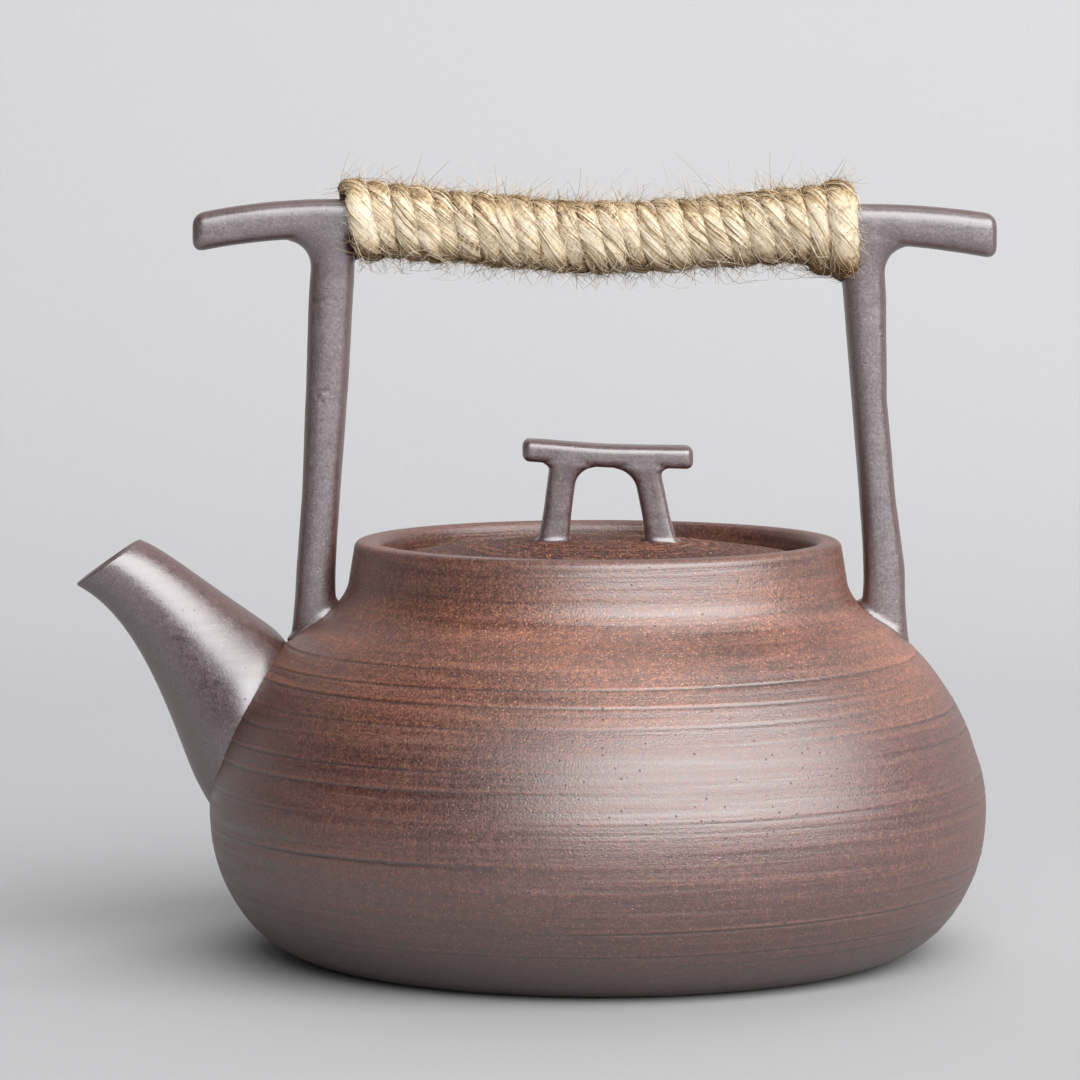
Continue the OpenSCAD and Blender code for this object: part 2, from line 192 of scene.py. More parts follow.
def throwing_marks(along, height, turn):
    """Depths in millimetres of the fine grooves, which fade in and out on a spiral, and of the swells."""
    off, at = spiral(along, throw_pitch, turn)
    off = off * throw_pitch - throw_drift * (wander(11)(at * 1.3) - 0.5)
    strength = np.clip(wander(12)(at * 4.3) * 2.6 - 1.2, 0, 1)
    groove = -np.exp(-(off / ridge_w) ** 2) + 0.5 * np.exp(-((off - 2 * ridge_w) / (1.4 * ridge_w)) ** 2)
    strong = sum((gain * np.exp(-((height - mid) / reach) ** 2) for gain, mid, reach in strong_bands),
                 plain_wall)
    off, at = spiral(along, trim_pitch, turn)
    fine = np.cos(2 * math.pi * off) * np.clip(wander(13)(at * 4.7) * 1.8 - 0.9, 0, 1)
    swell = wander(14)(along / swell_pitch - 0.4 * turn / (2 * math.pi)) - 0.5
    calm = np.clip((neck_z + 2 - height) / neck_fade, 0.10, 1) * np.clip(height / foot_fade, 0, 1)
    return (throw_depth * groove * strength * strong + trim_depth * fine) * calm, swell_depth * swell * calm


def skin(name, grid, ring=True, caps=(False, False)):
    """A mesh over rows of points, closed round each row, with a fan over either end."""
    rows, columns = grid.shape[:2]
    at = np.arange(rows * columns).reshape(rows, columns)
    side = np.roll(at, -1, axis=1) if ring else at[:, 1:]
    here = at if ring else at[:, :-1]
    faces = np.stack([here[:-1], side[:-1], side[1:], here[1:]], axis=-1).reshape(-1, 4).tolist()
    points = grid.reshape(-1, 3).tolist()
    for end, wanted in zip((0, rows - 1), caps):
        if wanted:
            points.append(grid[end].mean(axis=0).tolist())
            edge = at[end] if end == 0 else at[end][::-1]
            faces += [[len(points) - 1, int(edge[(j + 1) % columns]), int(edge[j])] for j in range(columns)]
    mesh = bpy.data.meshes.new(name)
    mesh.from_pydata(points, [], faces)
    mesh.shade_smooth()
    mesh.update()
    piece = bpy.data.objects.new(name, mesh)
    scene.collection.objects.link(piece)
    return piece


def settle(piece):
    """Turns a piece's modifiers into its mesh."""
    shaped = piece.evaluated_get(bpy.context.evaluated_depsgraph_get())
    mesh = bpy.data.meshes.new_from_object(shaped, preserve_all_data_layers=True,
                                           depsgraph=bpy.context.evaluated_depsgraph_get())
    piece.modifiers.clear()
    piece.data = mesh
    mesh.shade_smooth()


def drilled(piece, rings):
    """Cuts a straight hole through a piece, from one ring of points to the other."""
    drill = skin("drill", rings, caps=(True, True))
    hole = piece.modifiers.new("hole", "BOOLEAN")
    hole.object = drill
    hole.operation = "DIFFERENCE"
    hole.solver = "EXACT"
    settle(piece)
    bpy.data.objects.remove(drill)


def revolved(line, turn):
    """Points of a line of (radius, height) turned about the pot's axis, in metres."""
    r, z = line[:, :1], line[:, 1:]
    return np.stack([r * np.cos(turn), r * np.sin(turn), z + 0 * turn], axis=-1) * mm


pot_turn = np.linspace(-math.pi, math.pi, pot_columns, endpoint=False)[None, :]
outer_line = even(outside, row_step)
run = np.gradient(outer_line, axis=0)
run /= np.hypot(*run.T)[:, None]
outward = np.column_stack([run[:, 1], -run[:, 0]])
outer_along = np.r_[0, np.cumsum(np.hypot(*np.diff(outer_line, axis=0).T))]
grooves, swells = throwing_marks(outer_along[:, None], outer_line[:, 1:], pot_turn)
marks = grooves + swells - wall_sink
marks *= np.clip(outer_line[:, 1:] / base_fade, 0, 1)
outer_grid = revolved(outer_line, pot_turn)
lift = marks[..., None] * mm
outer_grid[..., :2] += lift * outward[:, None, :1] * np.stack([np.cos(pot_turn), np.sin(pot_turn)], axis=-1)
outer_grid[..., 2:] += lift * outward[:, None, 1:]
base_grid = revolved(np.column_stack([np.linspace(axis_r, base_r - 1, 8), np.zeros(8)]), pot_turn)
inner_grid = revolved(eased(even(inside, inner_step), 1), pot_turn)
pot = skin("thrown_vessel", np.concatenate([base_grid, outer_grid, inner_grid]), caps=(True, True))

# painted shade and highlight: the wall's colour follows its grooves, darker in each groove and paler on the
# lip beside it
relief_painted_light = np.concatenate([np.zeros(base_grid.shape[:2]), grooves / throw_depth,
                          np.zeros(inner_grid.shape[:2])]).ravel()
pot_marks = pot.data.attributes.new("relief_painted_light", "FLOAT", "POINT")
pot_marks.data.foreach_set("value", np.r_[relief_painted_light, 0, 0].astype(np.float32))

# the hole behind the spout
port_r = 11.5
spout_root_z = 47.4
port_slope = math.atan2(wall_r(spout_root_z - 1) - wall_r(spout_root_z + 1), 2)
port_axis = Vector((math.cos(port_slope), 0, -math.sin(port_slope)))
port_at = Vector((-float(wall_r(spout_root_z)), 0, spout_root_z)) * mm
bore_turn = np.linspace(0, 2 * math.pi, 48, endpoint=False)
bore_up = port_axis.cross(Vector((0, 1, 0)))
bore_ring = np.array([[*(port_r * mm * (math.cos(a) * Vector((0, 1, 0)) + math.sin(a) * bore_up))]
                      for a in bore_turn])
drilled(pot, np.stack([bore_ring + np.array(port_at + port_axis * d * mm) for d in (2 * wall, -wall)]))


def put(tree, kind, inputs=(), **options):
    """Adds a shader node with its options, and sets or links its inputs."""
    made = tree.nodes.new("ShaderNode" + kind)
    for option, value in options.items():
        setattr(made, option, value)
    for socket, value in dict(inputs).items():
        if isinstance(value, bpy.types.NodeSocket):
            tree.links.new(value, made.inputs[socket])
        else:
            made.inputs[socket].default_value = value
    return made


def sums(tree, start, *terms):
    """start plus each (output, gain, middle) term: gain times how far the output is from its middle."""
    total = start
    for output, gain, middle in terms:
        part = put(tree, "Math", {0: output, 1: gain, 2: -gain * middle}, operation="MULTIPLY_ADD").outputs[0]
        total = put(tree, "Math", {0: part, 1: total}, operation="ADD").outputs[0]
    return total


def shades(tree, value, *stops):
    """Colours in order along a value from 0 to 1."""
    made = put(tree, "ValToRGB", {0: value})
    ramp = made.color_ramp
    while len(ramp.elements) < len(stops):
        ramp.elements.new(0.5)
    for element, (at, colour) in zip(ramp.elements, stops):
        element.position = at
        element.color = (*colour, 1)
    return made.outputs[0]


def between(tree, value, low, high, at_low, at_high):
    """Goes from one level to another as a value goes from low to high."""
    return put(tree, "MapRange", {0: value, 1: low, 2: high, 3: at_low, 4: at_high}).outputs[0]


def times(tree, one, other):
    """The product of two values."""
    return put(tree, "Math", {0: one, 1: other}, operation="MULTIPLY").outputs[0]


def cloudy(tree, where, scale, detail, roughness=0.5):
    """Soft noise about 0.5: detail is how many finer layers it has, and roughness how strong they are."""
    return put(tree, "TexNoise", {"Vector": where, "Scale": scale, "Detail": detail,
                                  "Roughness": roughness}).outputs[0]


def over(tree, share, under, top):
    """A colour laid over another by a share from 0 to 1."""
    return put(tree, "Mix", {0: share, 6: under, 7: top}, data_type="RGBA").outputs[2]


def dots(tree, where, per_metre, size, kept):
    """Small round dots in some of the cells of a fine grid: 1 in a dot and 0 elsewhere."""
    cells = put(tree, "TexVoronoi", {"Vector": where, "Scale": per_metre})
    near = between(tree, cells.outputs["Distance"], size, size * 0.4, 0.0, 1.0)
    pick = put(tree, "SeparateColor", {0: cells.outputs["Color"]}).outputs[0]
    some = put(tree, "Math", {0: pick, 1: kept}, operation="LESS_THAN").outputs[0]
    return times(tree, near, some)


# marks on the clay: heights over which painted shade darkens the wall towards the foot, heights between which
# the flashed band comes and goes, and specks
foot_painted_shade = (6 * mm, 24 * mm)
flash_in = (46 * mm, 63 * mm)
flash_out = (66 * mm, 77 * mm)
gold_speck = (0.72, 0.38, 0.15)
clay_ior = 2.0


def fired_clay(name, deep, body, pale, gloss, shine, grain, grain_depth, speckle, gold_share, streaks,
               flashed=None, painted_flank_shade=None):
    """Bare fired clay: mottled body, sandy grain, tan and gold specks, small dark pits.

    grain is the size of a grain in millimetres, grain_depth how far it stands out and speckle how much its
    colour varies. flashed is a warmer colour that the fire left round the shoulder, and with it comes painted
    shade that darkens the wall towards the foot. The last colour is painted shade: darker and redder on the
    sides that face neither front nor back.
    """
    material = bpy.data.materials.new(name)
    material.use_nodes = True
    tree = material.node_tree
    shader = tree.nodes["Principled BSDF"]
    shader.inputs["Specular IOR Level"].default_value = shine
    shader.inputs["IOR"].default_value = clay_ior
    where = put(tree, "TexCoord").outputs["Object"]
    sand = cloudy(tree, where, 1000 / grain, 2, 0.6)
    mottle = cloudy(tree, where, 300 / grain, 3, 0.6)
    cloud = cloudy(tree, where, 30, 3)
    drawn = put(tree, "Mapping", {"Vector": where, "Scale": (24, 24, 800)}).outputs[0]
    streak = cloudy(tree, drawn, 1, 3)
    # painted light that follows the relief: darker in grooves and dips, paler on ridges, lips and rings
    painted_relief_light = put(tree, "Attribute", attribute_name="relief_painted_light").outputs["Fac"]
    tone = sums(tree, 0.5, (sand, speckle, 0.5), (mottle, 0.7, 0.5), (cloud, 0.25, 0.5),
                (streak, streaks, 0.5), (painted_relief_light, 0.55, 0.0))
    colour = shades(tree, tone, (0.10, deep), (0.5, body), (0.95, pale))
    gold = dots(tree, where, per_metre=1500, size=0.30, kept=gold_share)
    if flashed:
        height = put(tree, "SeparateXYZ", {0: where}).outputs[2]
        # painted shade: the wall's colour darkens towards the foot
        colour = over(tree, between(tree, height, *foot_painted_shade, 0.60, 0.0), colour, (*deep, 1))
        band = times(tree, between(tree, height, *flash_in, 0.0, 1.0),
                     between(tree, height, *flash_out, 1.0, 0.35))
        share = times(tree, band, between(tree, cloud, 0.32, 0.70, 0.20, 1.0))
        rust = shades(tree, tone, (0.22, body), (0.5, flashed), (0.82, tuple(2.1 * c for c in flashed)))
        colour = over(tree, share, colour, rust)
        gold = times(tree, gold, between(tree, share, 0.0, 1.0, 0.2, 1.0))
    # painted shade: faces turned neither to the front nor to the back are given a darker, redder colour
    if painted_flank_shade:
        facing = put(tree, "SeparateXYZ", {0: put(tree, "NewGeometry").outputs["Normal"]}).outputs[1]
        front = put(tree, "Math", {0: facing}, operation="ABSOLUTE").outputs[0]
        share = between(tree, front, 0.90, 0.45, 0.0, 0.90)
        flank_shade_colour = shades(tree, tone, (0.2, tuple(0.4 * c for c in painted_flank_shade)), (0.7, painted_flank_shade))
        colour = over(tree, share, colour, flank_shade_colour)
    tan = dots(tree, where, per_metre=1700, size=0.34, kept=0.14)
    colour = over(tree, tan, colour, (*(1.35 * c for c in pale), 1))
    colour = over(tree, gold, colour, (*gold_speck, 1))
    pit = dots(tree, where, per_metre=900, size=0.22, kept=0.16)
    colour = over(tree, pit, colour, (*(0.5 * c for c in deep), 1))
    tree.links.new(colour, shader.inputs["Base Color"])
    rough = sums(tree, gloss, (sand, 0.25, 0.5), (mottle, 0.10, 0.5), (streak, 0.7 * streaks, 0.5),
                 (pit, 0.25, 0.0))
    tree.links.new(rough, shader.inputs["Roughness"])
    relief = sums(tree, 0.0, (sand, 0.8, 0.5), (mottle, 0.5, 0.5), (streak, 3.0 * streaks, 0.5),
                  (tan, 0.3, 0.0), (pit, -0.8, 0.0))
    bump = put(tree, "Bump", {"Strength": 0.6, "Distance": grain_depth * mm, "Height": relief})
    tree.links.new(bump.outputs[0], shader.inputs["Normal"])
    return material


thrown_clay = fired_clay("thrown_clay", deep=(0.021, 0.005, 0.003), body=(0.088, 0.022, 0.013),
                         pale=(0.220, 0.076, 0.045), gloss=0.46, shine=0.68, grain=0.42, grain_depth=0.15,
                         speckle=1.5, gold_share=0.42, streaks=0.6, flashed=(0.215, 0.069, 0.031))
pot.data.materials.clear()
pot.data.materials.append(thrown_clay)
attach(pot, "pot")
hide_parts("pot_body")


# Strainer: a small dome of the same clay, pierced with nineteen holes and luted inside the wall behind
# the spout. It keeps the shape of its solid.
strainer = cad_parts["strainer"]
strainer.data.materials.clear()
strainer.data.materials.append(thrown_clay)


# Spout: thrown or rolled apart as a tapering tube of the finer, smoother clay, bent forward, cut slanting
# at the mouth and luted on low on the shoulder, with the seam wiped smooth.
spout_root_r = 17.0
spout_tip_r = 7.6
spout_rise = math.radians(58)
spout_lean = math.radians(2)
spout_taper = 2.6
mouth_rise = math.radians(25)
mouth_cut = math.radians(36)
spout_root_wall = 3.4
spout_tip_wall = 2.2
spout_flat = 0.95
root_ease = 1.6
seam_flare = 0.12
seam_reach = 2.2
spout_len = 45
mouth_round = 0.026
spout_past_belly = 19.2
mouth_below_rim = 4.6
outer_sunk = 0.9
inner_sunk = 0.2
seat_search = (-0.6, 0.8)
halvings = 40
spout_columns = 96
spout_root = np.array([-float(wall_r(spout_root_z)), spout_root_z])
spout_tip = np.array([-belly_r - spout_past_belly, rim_z - mouth_below_rim])
root_way = np.array([-math.cos(spout_rise), math.sin(spout_rise)])
tip_way = np.array([math.cos(mouth_rise), -math.sin(mouth_rise)])
reach = spout_tip - spout_root
spout_bend = spout_root + root_way * ((reach[0] * tip_way[1] - reach[1] * tip_way[0])
                                      / (root_way[0] * tip_way[1] - root_way[1] * tip_way[0]))


def spout_points(q, t, depth, proud=0.0):
    """Points at angles q and shares t of the way along, from the outside, depth 0, to the bore, depth 1."""
    mid = ((1 - t) ** 2)[..., None] * spout_root + (2 * t * (1 - t))[..., None] * spout_bend \
        + (t ** 2)[..., None] * spout_tip
    tilt = mouth_cut + (spout_rise + spout_lean - mouth_cut) * (1 - t)
    short = (spout_root_r - spout_tip_r) * (1 - np.clip(1 - t, 0, None) ** spout_taper)
    r = spout_root_r - (short + np.hypot(short, root_ease)) / 2 + proud
    r = r - depth * (spout_tip_wall + (spout_root_wall - spout_tip_wall) * (1 - t))
    return np.stack([mid[..., 0] + r * np.cos(q) * np.cos(tilt), spout_flat * r * np.sin(q),
                     mid[..., 1] + r * np.cos(q) * np.sin(tilt)], axis=-1)


def spout_seat(q, depth, sunk):
    """Where each line along the spout meets the vessel, found by halving."""
    low = np.full_like(q, seat_search[0])
    high = np.full_like(q, seat_search[1])
    for _ in range(halvings):
        t = (low + high) / 2
        p = spout_points(q, t, depth)
        out = np.hypot(p[..., 0], p[..., 1]) > wall_r(p[..., 2]) - sunk
        high = np.where(out, t, high)
        low = np.where(out, low, t)
    return (low + high) / 2


spout_q = np.linspace(0, 2 * math.pi, spout_columns, endpoint=False)
outer_seat = spout_seat(spout_q, 0, outer_sunk)
inner_seat = spout_seat(spout_q, 1, inner_sunk)
spout_rows = []
for s in np.linspace(0, 1, 70) ** 1.15:
    t = outer_seat + (1 - outer_seat) * s
    away = s * spout_len
    spout_rows.append(spout_points(spout_q, t, 0, seam_flare * math.exp(-(away / seam_reach) ** 2)))
for turn in np.linspace(0, math.pi, 9)[1:-1]:
    t = np.full_like(spout_q, 1 + mouth_round * math.sin(turn))
    spout_rows.append(spout_points(spout_q, t, (1 - math.cos(turn)) / 2))
for s in np.linspace(1, 0, 40):
    spout_rows.append(spout_points(spout_q, inner_seat + (1 - inner_seat) * s, 1))
spout = skin("spout_tube", np.array(spout_rows) * mm)

# the smooth clay's last colour is painted shade on the flanks of the spout, the handle and the knob
smooth_clay = fired_clay("smooth_clay", deep=(0.040, 0.023, 0.026), body=(0.098, 0.063, 0.070),
                         pale=(0.175, 0.125, 0.138), gloss=0.36, shine=0.75, grain=0.45, grain_depth=0.05,
                         speckle=1.6, gold_share=0.0, streaks=0.25, painted_flank_shade=(0.095, 0.030, 0.020))
spout.data.materials.append(smooth_clay)
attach(spout, "pot")
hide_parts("spout")


# Handle: two flat posts and a crossbar with stub ends, each rolled and pressed from the smoother clay,
# joined with slip while damp and wiped, so the corners run into each other. The posts stand on the shoulder.
bar_z = 141.4
bar_h = 7.6
bar_d = 10.4
bar_sag = 3.0
bar_tilt = math.radians(0.55)
bar_round = 2.0
front_end_h = 7.4
rear_end_h = 8.6
front_stub_l = 27.4
rear_stub_l = 26.0
front_droop = 3.0
rear_droop = 2.2
post_w = 7.8
post_d = 9.4
post_foot_x = 55.2
post_top_x = 50.6
bar_front = -post_top_x - front_stub_l
bar_rear = post_top_x + rear_stub_l
post_flare = 0.7
stub_fillet = 5.5
inner_fillet = 0.5
foot_sunk = 1.2
# how far each side of a post bulges, at shares of its height from the foot
post_shares = (0.0, 0.18, 0.33, 0.57, 0.82, 1.0)
front_post_out = (0.0, 0.0, -0.3, 0.0, 0.4, 0.2)
front_post_in = (0.0, 0.0, 0.2, 0.6, 0.5, 0.2)
rear_post_out = (0.6, 1.2, 0.0, -0.7, 0.2, 0.2)
rear_post_in = (-0.4, -0.8, -0.5, 0.0, 0.5, 0.2)
bar_squareness = 3.8
post_squareness = 2.7
handle_voxel = 0.38
handle_wipes = 8
seam_bead = 0.55


def squared(a, b, q, squareness=3.0):
    """Section of a pressed bar: an oval with squared sides."""
    across, up = np.abs(np.cos(q)) / a, np.abs(np.sin(q)) / b
    size = (across ** squareness + up ** squareness) ** (-1 / squareness)
    return np.stack([np.cos(q) * size, np.sin(q) * size], axis=-1)


def yoke_z(x, crest, sag, stub, droop):
    """Height of a bar's middle: it sags between its two crests, and its ends droop past them."""
    x = np.abs(x)
    dip = -sag * (1 + np.cos(np.pi * x / crest)) / 2
    fall = -droop * ((x - crest) / stub) ** 2
    return np.where(x < crest, dip, fall)


def bar_mid(x):
    """Height of the handle bar's middle."""
    stub, droop = np.where(x < 0, front_stub_l, rear_stub_l), np.where(x < 0, front_droop, rear_droop)
    return bar_z - x * math.tan(bar_tilt) + yoke_z(x, post_top_x, bar_sag, stub, droop)


def bar_height(x):
    """Height of the handle bar's section."""
    end_h, stub = (front_end_h, front_stub_l) if x < 0 else (rear_end_h, rear_stub_l)
    return bar_h + (end_h - bar_h) * max(0, abs(x) - post_top_x) / stub


section_q = np.linspace(0, 2 * math.pi, 48, endpoint=False)


def yoke_rows(mid_x, half, h, d, end_round, mid, squareness, n=140):
    """Rings of a bar along X with rounded ends."""
    rows = []
    for s in (1 - np.cos(np.linspace(0, math.pi, n))) / 2:
        x = mid_x + half * (2 * s - 1)
        k = min(1, max(0, 1 - (half - abs(x - mid_x)) / end_round))
        swell = 1 - 2 * end_round / h(x) * (1 - math.sqrt(1 - k * k))
        p = swell * squared(d / 2, h(x) / 2, section_q, squareness)
        rows.append(np.column_stack([np.full(len(p), x), p[:, 0], float(mid(x)) + p[:, 1]]))
    return np.array(rows)


def strut_rows(mid_x, side, foot_x, lean, w, d, flare, fillets, give, cover, foot_z, top_z, squareness, n=70):
    """Rings of a post from just inside what it stands on to the middle of what it carries.

    fillets and give are for its outer and its inner side: the radius of the corner under what it carries,
    and how far the side bulges along its height. cover is the height and depth of what it carries.
    """
    run = float(top_z(mid_x + side * (foot_x - lean)) - foot_z(foot_x, 0))
    rows = []
    for s in np.linspace(0, 1, n):
        left = max(0, (1 - s) * run - cover[0] / 2)
        wide = w / 2 + flare * max(0, 1 - s * run / d) ** 2
        outer, inner = [wide + np.interp(s, post_shares, bulge)
                        + r - math.sqrt(max(0, r ** 2 - max(0, r - left) ** 2))
                        for r, bulge in zip(fillets, give)]
        deep = d + (cover[1] - d) * max(0, 1 - left / (1.2 * d)) ** 2
        p = squared(np.where(np.cos(section_q) > 0, outer, inner), deep / 2, section_q, squareness)
        x = mid_x + side * (foot_x - lean * s + p[:, 0])
        low = foot_z(x, p[:, 1]) - foot_sunk
        high = top_z(x) + 0 * x
        rows.append(np.column_stack([x, p[:, 1], low + (high - low) * s]))
    return np.array(rows[::-1] if side < 0 else rows)


def tube(rows):
    """Points and faces of a closed tube over rings."""
    n, k = rows.shape[:2]
    at = np.arange(n * k).reshape(n, k)
    side = np.roll(at, -1, axis=1)
    faces = np.stack([at[:-1], side[:-1], side[1:], at[1:]], axis=-1).reshape(-1, 4).tolist()
    faces += [at[0][::-1].tolist(), at[-1].tolist()]
    return rows.reshape(-1, 3), faces


def melted(name, tubes, voxel, rounds):
    """One wiped piece from tubes that run into each other."""
    points, faces = [], []
    for tube_points, tube_faces in tubes:
        faces += [[i + len(points) for i in face] for face in tube_faces]
        points += (tube_points * mm).tolist()
    mesh = bpy.data.meshes.new(name)
    mesh.from_pydata(points, [], faces)
    piece = bpy.data.objects.new(name, mesh)
    scene.collection.objects.link(piece)
    joined = piece.modifiers.new("joined", "REMESH")
    joined.mode = "VOXEL"
    joined.voxel_size = voxel * mm
    wiped = piece.modifiers.new("wiped", "SMOOTH")
    wiped.factor = 0.5
    wiped.iterations = rounds
    settle(piece)
    return piece


def pressed_by_hand(piece, depth, scale, seed):
    """Low dents and swells over a piece, as fingers leave them."""
    normals = [v.normal.copy() for v in piece.data.vertices]
    shift = Vector((seed * 7.1, seed * 3.3, seed * 5.7))
    for v, normal in zip(piece.data.vertices, normals):
        dent = noise.noise(v.co * scale + shift) + 0.4 * noise.noise(v.co * 3 * scale + shift)
        v.co += normal * depth * mm * dent
    piece.data.update()


def foot_bead(mid_x, side, foot_x, w, d, flare, foot_z, thick):
    """Rings of the line of slip wiped round a foot."""
    p = squared(w / 2 + flare, d / 2, section_q)
    x = mid_x + side * (foot_x + p[:, 0])
    mid = np.column_stack([x, p[:, 1], foot_z(x, p[:, 1])])
    out = np.column_stack([side * p[:, 0], p[:, 1], 0 * x])
    out /= np.linalg.norm(out, axis=1)[:, None]
    turn = np.linspace(0, 2 * math.pi, 8, endpoint=False)
    rows = np.array([[m + thick * (math.cos(a) * o + math.sin(a) * np.array([0, 0, 1])) for a in turn]
                     for m, o in zip(mid, out)])
    return rows if side < 0 else rows[::-1]


def ring_tube(rows):
    """Points and faces of a tube that closes on itself."""
    n, k = rows.shape[:2]
    at = np.arange(n * k).reshape(n, k)
    ahead, side = np.roll(at, -1, axis=0), np.roll(at, -1, axis=1)
    corner = np.roll(ahead, -1, axis=1)
    return rows.reshape(-1, 3), np.stack([at, ahead, corner, side], axis=-1).reshape(-1, 4).tolist()


def on_shoulder(x, y):
    """Height of the vessel's upper side at a place."""
    return shoulder_z(np.hypot(x, y))


handle_tubes = [tube(yoke_rows((bar_rear + bar_front) / 2, (bar_rear - bar_front) / 2, bar_height, bar_d,
                               bar_round, bar_mid, bar_squareness))]
for side, give in ((-1, (front_post_out, front_post_in)), (1, (rear_post_out, rear_post_in))):
    handle_tubes.append(tube(strut_rows(0, side, post_foot_x, post_foot_x - post_top_x, post_w, post_d,
                                        post_flare, (stub_fillet, inner_fillet), give, (bar_h, bar_d),
                                        on_shoulder, bar_mid, post_squareness)))
    handle_tubes.append(ring_tube(foot_bead(0, side, post_foot_x, post_w, post_d, post_flare, on_shoulder,
                                            seam_bead)))
handle = melted("handle_frame", handle_tubes, handle_voxel, handle_wipes)
pressed_by_hand(handle, depth=0.07, scale=90, seed=3)

# small chips in the face of the front post: place across and up, half width and height, depth
chips = ((-53.4, 109.0, 1.3, 0.40, 0.28), (-54.1, 108.0, 0.45, 0.45, 0.22), (-53.3, 106.9, 0.50, 0.40, 0.15))
face_y = -2.5
for v in handle.data.vertices:
    if v.co.y < face_y * mm:
        v.co.y += mm * sum(depth * math.exp(-((v.co.x / mm - x) / wide) ** 2
                                            - ((v.co.z / mm - z) / high) ** 2)
                           for x, z, wide, high, depth in chips)
handle.data.update()
handle.data.materials.append(smooth_clay)
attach(handle, "pot")
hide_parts("front_post", "rear_post", "handle_bar")


# Grip: one soft, loosely laid jute cord wound tight round the bar in twenty-four turns that cover it from
# post to post, with its ends tucked under and its last two turns a little slack. Its fibres lie along the
# lay, and many stand off all over.
cord_turns = 24
cord_half = 47.8
cord_wide = 2.45
cord_high = 1.55
cord_lay = 20.0
bundles = 5
bundle_depth = 0.10
ridge_depth = 0.30
front_slant = 2.0
last_slant = -0.4
end_bulk = 1.0
last_bulk = 0.4
last_shift = 0.5
last_full = 0.22
last_drop = 2.6
last_turns_shade = 0.55
end_bulk_turns = 5
cord_start = 300
rings_per_turn = 64
strand_sides = 56

cord_pitch = 2 * cord_half / cord_turns
cord_u = np.linspace(0, cord_turns, cord_turns * rings_per_turn + 1)


def ease(w):
    """From 0 to 1, starting and ending gently."""
    w = np.clip(w, 0, 1)
    return w * w * (3 - 2 * w)


def hanging(u):
    """How far the cord has come into its last two turns, which hang a little below the others."""
    return ease((u - (cord_turns - 2.6)) / 2.1)


def last_turn(u):
    """How far the cord has come into its last turn, which is fuller than the others."""
    return ease((u - (cord_turns - 1.1)) / 0.5)


def cord_line(u):
    """Middle of the cord: it runs aslant over the front, and its last turns stand up against the post."""
    angle = math.radians(cord_start) + 2 * math.pi * u
    last = ease((u - (cord_turns - 3.3)) / 2.6)
    end = last_turn(u)
    slant = front_slant * (0.75 + 0.5 * u / cord_turns) * (1 - last) + last_slant * last
    x = -cord_half + cord_pitch * (u + slant * np.sin(2 * math.pi * (u - 2 / 3)) / (2 * math.pi)
                                   + 0.25 * (wander(32)(u * 2.0) - 0.5)) + last_shift * end
    from_end = np.minimum(u, cord_turns - u)
    bulk = end_bulk * np.clip(1 - from_end / end_bulk_turns, 0, 1) ** 1.5 + last_bulk * end \
        + 0.45 * (wander(31)(u * 3.0) - 0.5)
    off = cord_high * 0.95 + bulk
    size = squared(bar_d / 2 + off, bar_h / 2 + off, angle)
    drop = last_drop * hanging(u) * np.clip(-np.sin(angle), 0, 1) ** 1.5
    return np.stack([x, size[..., 0], bar_mid(x) + size[..., 1] - drop], axis=-1)


cord_mid = cord_line(cord_u)
cord_run = np.gradient(cord_mid, axis=0)
cord_len = np.r_[0, np.cumsum(np.linalg.norm(np.diff(cord_mid, axis=0), axis=1))]
cord_run /= np.linalg.norm(cord_run, axis=1)[:, None]
cord_up = cord_mid - np.column_stack([cord_mid[:, 0], 0 * cord_len, bar_mid(cord_mid[:, 0])])
cord_up -= cord_run * np.sum(cord_up * cord_run, axis=1)[:, None]
cord_up /= np.linalg.norm(cord_up, axis=1)[:, None]
cord_side = np.cross(cord_run, cord_up)
cord_lay_turn = 2 * math.pi * (0.3 * wander(45)(cord_len / 11) - cord_len / cord_lay)
cord_full = 0.86 + 0.28 * wander(46)(cord_len / 5) + last_full * last_turn(cord_u)
# painted shade: the cord is browner where it faces down and up, and its last two turns are darker below
shade_facings = (-1, -0.8, -0.2, 0.2, 0.8, 1)
shade_amounts = (0.88, 0.70, 0, 0, 0.76, 0.93)
cord_painted_shade = np.interp(cord_up[:, 2], shade_facings, shade_amounts) \
    + last_turns_shade * hanging(cord_u) * np.clip(0.1 - cord_up[:, 2], 0, 1)


def read_along(values, place):
    """Values of the cord's rings read at any place along it."""
    i = np.clip(place.astype(int), 0, len(cord_u) - 2)
    f = (place - i).reshape(place.shape + (1,) * (values.ndim - 1))
    return values[i] * (1 - f) + values[i + 1] * f


def strand_form(place, q):
    """The cord's bundles and the finer ridges on them, both from 0 to 1, which run along its lay."""
    phi = q - read_along(cord_lay_turn, place)
    return np.abs(np.cos(bundles / 2 * phi)) ** 0.7, wander(47)(3.6 * phi + 0.1 * place)


def on_strand(place, q, lift=0.0):
    """Points on the cord: q goes round it from its outer side, and lift is the height off its surface."""
    bundle, ridge = strand_form(place, q)
    full = read_along(cord_full, place) * (1 + bundle_depth * (bundle - 0.7))
    lift = lift + ridge_depth * (ridge - 0.5)
    return read_along(cord_mid, place) \
        + ((cord_high * full + lift) * np.cos(q))[..., None] * read_along(cord_up, place) \
        + ((cord_wide * full + lift) * np.sin(q))[..., None] * read_along(cord_side, place)


strand_parts = {"points": [], "faces": [], "uv": [], "tone": []}


